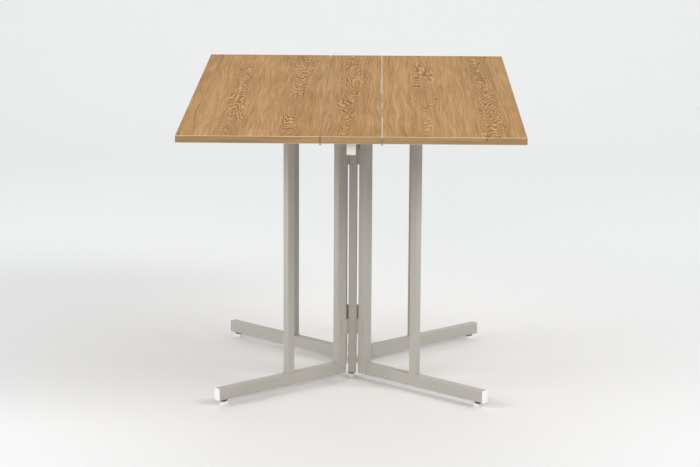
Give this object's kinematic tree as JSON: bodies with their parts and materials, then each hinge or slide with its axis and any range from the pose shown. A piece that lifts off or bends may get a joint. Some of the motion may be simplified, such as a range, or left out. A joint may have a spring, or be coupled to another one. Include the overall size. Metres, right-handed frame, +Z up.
{
  "type": "gateleg table",
  "caption": "Folding gateleg table with a narrow fixed centre, hinged oak-look leaves and swing-out steel gates that stand in an X.",
  "frame": {"origin": "on the floor, under the middle of the table", "axes": "+Y along the seams, from the front end to the rear end; +X across the seams, to the right leaf; +Z up"},
  "size_m": [0.8, 1.2, 0.725],
  "materials": {
    "oak_laminate": "satin oak-look laminate with a printed cathedral grain",
    "oak_edging": "satin oak-look edging strip",
    "frame_steel": "satin warm-grey powder coat",
    "white_plastic": "matt moulded white plastic",
    "zinc_steel": "bright zinc-plated steel"
  },
  "bodies": {
    "centre": {"centre_panel": "oak_laminate", "centre_edging": "oak_edging", "beam": "frame_steel", "beam_plugs": "white_plastic", "beam_tabs": "frame_steel", "front_post": "frame_steel", "rear_post": "frame_steel", "lower_rail": "frame_steel", "post_inserts": "white_plastic", "post_glides": "white_plastic", "centre_screws": "zinc_steel", "seam_fixed_plates": "zinc_steel", "seam_pins": "zinc_steel", "gate_fixed_plates": "frame_steel", "gate_pins": "zinc_steel"},
    "left_leaf": {"left_leaf_board": "oak_laminate", "left_leaf_edging": "oak_edging", "left_leaf_hinge_plates": "zinc_steel", "left_leaf_screws": "zinc_steel", "left_leaf_stops": "white_plastic"},
    "right_leaf": {"right_leaf_board": "oak_laminate", "right_leaf_edging": "oak_edging", "right_leaf_hinge_plates": "zinc_steel", "right_leaf_screws": "zinc_steel", "right_leaf_stops": "white_plastic"},
    "front_left_gate": {"front_left_inner_tube": "frame_steel", "front_left_outer_tube": "frame_steel", "front_left_foot_bar": "frame_steel", "front_left_top_bar": "frame_steel", "front_left_end_plugs": "white_plastic", "front_left_glide": "white_plastic", "front_left_bumper": "white_plastic", "front_left_hinge_plates": "frame_steel"},
    "front_right_gate": {"front_right_inner_tube": "frame_steel", "front_right_outer_tube": "frame_steel", "front_right_foot_bar": "frame_steel", "front_right_top_bar": "frame_steel", "front_right_end_plugs": "white_plastic", "front_right_glide": "white_plastic", "front_right_bumper": "white_plastic", "front_right_hinge_plates": "frame_steel"},
    "rear_left_gate": {"rear_left_inner_tube": "frame_steel", "rear_left_outer_tube": "frame_steel", "rear_left_foot_bar": "frame_steel", "rear_left_top_bar": "frame_steel", "rear_left_end_plugs": "white_plastic", "rear_left_glide": "white_plastic", "rear_left_bumper": "white_plastic", "rear_left_hinge_plates": "frame_steel"},
    "rear_right_gate": {"rear_right_inner_tube": "frame_steel", "rear_right_outer_tube": "frame_steel", "rear_right_foot_bar": "frame_steel", "rear_right_top_bar": "frame_steel", "rear_right_end_plugs": "white_plastic", "rear_right_glide": "white_plastic", "rear_right_bumper": "white_plastic", "rear_right_hinge_plates": "frame_steel"}
  },
  "joints": [
    {"name": "left_leaf_lift", "type": "hinge", "parent": "centre", "child": "left_leaf", "pos_m": [-0.0705, 0, 0.705], "axis": [0, -1, 0], "range_deg": [-2.5, 0]},
    {"name": "right_leaf_lift", "type": "hinge", "parent": "centre", "child": "right_leaf", "pos_m": [0.0705, 0, 0.705], "axis": [0, 1, 0], "range_deg": [-2.5, 0]},
    {"name": "front_left_gate_fold", "type": "hinge", "parent": "centre", "child": "front_left_gate", "pos_m": [-0.0115, -0.0724, 0.3], "axis": [0, 0, 1], "range_deg": [0, 50]},
    {"name": "front_right_gate_fold", "type": "hinge", "parent": "centre", "child": "front_right_gate", "pos_m": [0.0115, -0.0724, 0.3], "axis": [0, 0, -1], "range_deg": [0, 50]},
    {"name": "rear_left_gate_fold", "type": "hinge", "parent": "centre", "child": "rear_left_gate", "pos_m": [-0.0115, 0.0724, 0.3], "axis": [0, 0, -1], "range_deg": [0, 50]},
    {"name": "rear_right_gate_fold", "type": "hinge", "parent": "centre", "child": "rear_right_gate", "pos_m": [0.0115, 0.0724, 0.3], "axis": [0, 0, 1], "range_deg": [0, 50]}
  ]
}
